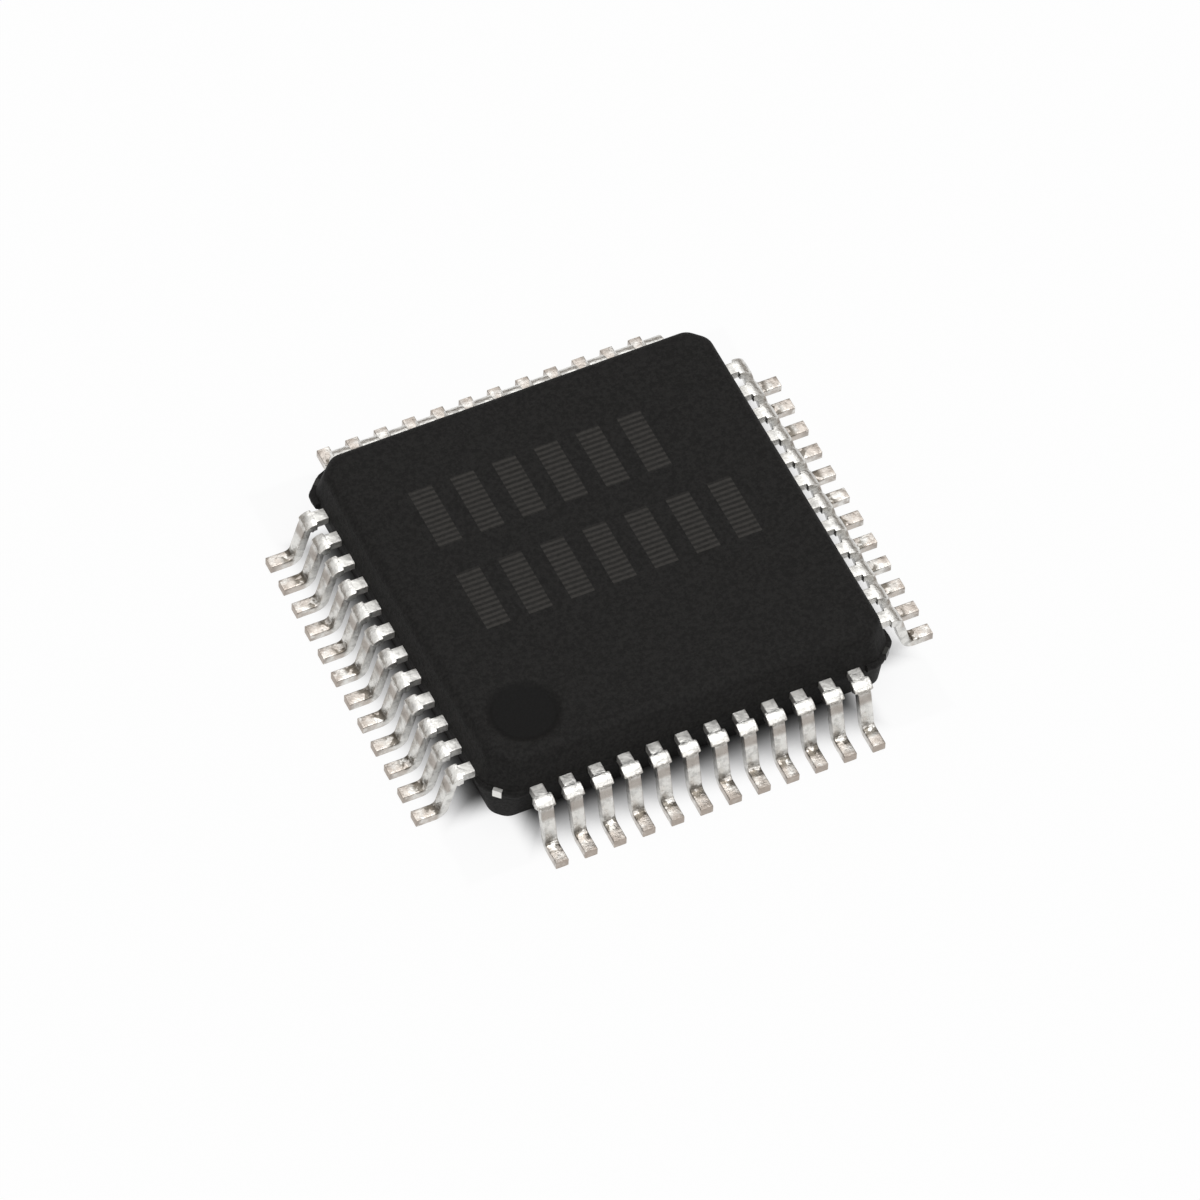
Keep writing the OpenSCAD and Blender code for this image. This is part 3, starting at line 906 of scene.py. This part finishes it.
def area_light(name, place, size, power):
    """A rectangular lamp turned towards the part."""
    data = bpy.data.lights.new(name, "AREA")
    data.shape = "RECTANGLE"
    data.size, data.size_y = size
    data.energy = power
    lamp = bpy.data.objects.new(name, data)
    bpy.context.scene.collection.objects.link(lamp)
    lamp.location = place
    lamp.rotation_euler = (-Vector(place)).to_track_quat("-Z", "Y").to_euler()


def build_camera(settings):
    a, e, roll = settings.azimuth, settings.elevation, settings.roll
    back = Vector((math.sin(a) * math.cos(e), -math.cos(a) * math.cos(e), math.sin(e)))
    level = Vector((math.cos(a), math.sin(a), 0))
    upright = back.cross(level)
    right = level * math.cos(roll) + upright * math.sin(roll)
    up = upright * math.cos(roll) - level * math.sin(roll)
    data = bpy.data.cameras.new("studio_camera")
    data.lens = settings.lens
    data.sensor_width = 36.0
    data.clip_start = 0.01
    data.clip_end = 10.0
    camera = bpy.data.objects.new("studio_camera", data)
    bpy.context.scene.collection.objects.link(camera)
    place = back * settings.distance + right * settings.shift_right + up * settings.shift_up
    camera.matrix_world = Matrix((
        (right.x, up.x, back.x, place.x), (right.y, up.y, back.y, place.y),
        (right.z, up.z, back.z, place.z), (0, 0, 0, 1)))
    bpy.context.scene.camera = camera


def seen_rays(tree):
    """1 for the rays that show the surroundings: camera, glossy and transmission."""
    path = put(tree, "ShaderNodeLightPath")
    seen = calc(tree, "MAXIMUM", path.outputs["Is Camera Ray"], path.outputs["Is Glossy Ray"])
    return calc(tree, "MAXIMUM", seen, path.outputs["Is Transmission Ray"])


def build_floor(settings):
    """A wide pale floor on the seating plane that keeps the part's shadow, with a painted shadow on
    its paper behind the leads.
    """
    builder = bmesh.new()
    bmesh.ops.create_grid(builder, x_segments=4, y_segments=4, size=FLOOR_HALF)
    mesh = bpy.data.meshes.new("studio_floor")
    builder.to_mesh(mesh)
    builder.free()
    floor = bpy.data.objects.new("studio_floor", mesh)
    bpy.context.scene.collection.objects.link(floor)
    material = bpy.data.materials.new("studio_paper")
    material.use_nodes = True
    tree = material.node_tree
    tree.nodes.clear()
    # white away from the part, and a painted shadow on the paper behind the leads, where the body
    # all but touches it; the glow fades there so the painted shadow shows, and both give way near
    # the corners
    place = use_group(tree, place_group(), {"Wall": settings.wall / MM})
    outward = place.outputs["Outward"]
    along = calc(tree, "MINIMUM", calc(tree, "ABSOLUTE", place.outputs["X"]),
                 calc(tree, "ABSOLUTE", place.outputs["Y"]))
    corner = ramp(tree, along, 2.65, 3.2)
    clear_of_painted_shadow = calc(tree, "MAXIMUM", ramp(tree, outward, -0.35, 0.4), corner)
    colour = blend_colour(tree, clear_of_painted_shadow, PAINTED_SHADOW, rgba(settings.floor))
    paper = put(tree, "ShaderNodeBsdfDiffuse", {"Color": colour})
    glow = put(tree, "ShaderNodeEmission", {"Color": WHITE, "Strength": 1.0})
    white = calc(tree, "MAXIMUM", ramp(tree, outward, -0.05, 0.8, 0.0, 0.95),
                 calc(tree, "MULTIPLY", corner, 0.9))
    share = calc(tree, "MULTIPLY", seen_rays(tree), white)
    mix = put(tree, "ShaderNodeMixShader", {0: share})
    tree.links.new(paper.outputs[0], mix.inputs[1])
    tree.links.new(glow.outputs[0], mix.inputs[2])
    out = put(tree, "ShaderNodeOutputMaterial")
    tree.links.new(mix.outputs[0], out.inputs["Surface"])
    mesh.materials.append(material)


def build_world(settings):
    """Even light on the part, white behind it, and for bright metal a room that is dark at
    the horizon and light overhead."""
    world = bpy.data.worlds.new("studio_world")
    bpy.context.scene.world = world
    world.use_nodes = True
    tree = world.node_tree
    tree.nodes.clear()
    coords = put(tree, "ShaderNodeTexCoord")
    up = put(tree, "ShaderNodeSeparateXYZ", {0: coords.outputs["Generated"]}).outputs["Z"]
    room = blend_colour(tree, ramp(tree, up, 0.25, 0.8), rgba(settings.horizon), WHITE)
    path = put(tree, "ShaderNodeLightPath")
    even = put(tree, "ShaderNodeBackground", {"Color": WHITE, "Strength": settings.world})
    shown = put(tree, "ShaderNodeBackground", {"Color": room, "Strength": 1.0})
    white = put(tree, "ShaderNodeBackground", {"Color": WHITE, "Strength": 1.0})
    glossy = put(tree, "ShaderNodeMixShader", {0: path.outputs["Is Glossy Ray"]})
    tree.links.new(even.outputs[0], glossy.inputs[1])
    tree.links.new(shown.outputs[0], glossy.inputs[2])
    seen = calc(tree, "MAXIMUM", path.outputs["Is Camera Ray"],
                path.outputs["Is Transmission Ray"])
    mix = put(tree, "ShaderNodeMixShader", {0: seen})
    tree.links.new(glossy.outputs[0], mix.inputs[1])
    tree.links.new(white.outputs[0], mix.inputs[2])
    out = put(tree, "ShaderNodeOutputWorld")
    tree.links.new(mix.outputs[0], out.inputs["Surface"])


# ---- Operators ----

class QFP_OT_body(bpy.types.Operator):
    """Build the moulded body with its dimple, corner flash and marked rows"""
    bl_idname = "qfp.body"
    bl_label = "Moulded Body"

    def execute(self, context):
        build_body(context.scene.qfp_mould)
        return {"FINISHED"}


class QFP_OT_leads(bpy.types.Operator):
    """Build the gull-wing leads of all four sides"""
    bl_idname = "qfp.leads"
    bl_label = "Leads"

    def execute(self, context):
        settings = context.scene.qfp_leads
        material = tin_material(settings)
        for number in range(4 * settings.per_side):
            build_lead(settings, number, material)
        return {"FINISHED"}


class QFP_OT_inside(bpy.types.Operator):
    """Build the bond wires and finish the die pad, the adhesive and the die"""
    bl_idname = "qfp.inside"
    bl_label = "Inside"

    def execute(self, context):
        settings = context.scene.qfp_inner
        leads = context.scene.qfp_leads
        gold = plain_metal("gold", settings.gold, 20.0, 0.15, 0.3)
        for side in range(4):
            build_wires(settings, leads, side, gold)
        finishes = {
            "die_pad": copper_material(settings, rgba(leads.tin)),
            "die_attach": plain_metal("silver_adhesive", settings.silver, 12.0, 0.4, 0.6),
            "die": silicon_material(settings),
        }
        for node, material in finishes.items():
            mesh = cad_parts[node].data
            mesh.materials.clear()
            mesh.materials.append(material)
        return {"FINISHED"}


class QFP_OT_stage(bpy.types.Operator):
    """Set up the camera, the floor, the lights and the surroundings"""
    bl_idname = "qfp.stage"
    bl_label = "Stage"

    def execute(self, context):
        settings = context.scene.qfp_stage
        context.scene.view_settings.view_transform = "Standard"
        build_camera(settings)
        build_floor(settings)
        build_world(settings)
        for name, place, size, share in LAMPS:
            area_light(name, place, size, settings.key * share)
        return {"FINISHED"}


class QFP_PT_panel(bpy.types.Panel):
    """Lists the steps that dress the part"""
    bl_idname = "QFP_PT_panel"
    bl_label = "Quad Flat Pack"
    bl_space_type = "VIEW_3D"
    bl_region_type = "UI"
    bl_category = "Quad Flat Pack"

    def draw(self, context):
        for operator in OPERATORS:
            self.layout.operator(operator.bl_idname)


GROUPS = {"qfp_mould": MouldSettings, "qfp_leads": LeadSettings, "qfp_inner": InnerSettings,
          "qfp_stage": StageSettings}
OPERATORS = (QFP_OT_body, QFP_OT_leads, QFP_OT_inside, QFP_OT_stage)
CLASSES = tuple(GROUPS.values()) + OPERATORS + (QFP_PT_panel,)


def register():
    for made in CLASSES:
        bpy.utils.register_class(made)
    for name, group in GROUPS.items():
        setattr(bpy.types.Scene, name, PointerProperty(type=group))


def unregister():
    for name in GROUPS:
        delattr(bpy.types.Scene, name)
    for made in reversed(CLASSES):
        bpy.utils.unregister_class(made)


def main():
    register()
    bpy.ops.qfp.stage()
    bpy.ops.qfp.body()
    bpy.ops.qfp.leads()
    bpy.ops.qfp.inside()
    bpy.context.view_layer.update()


if __name__ == "__main__":
    main()
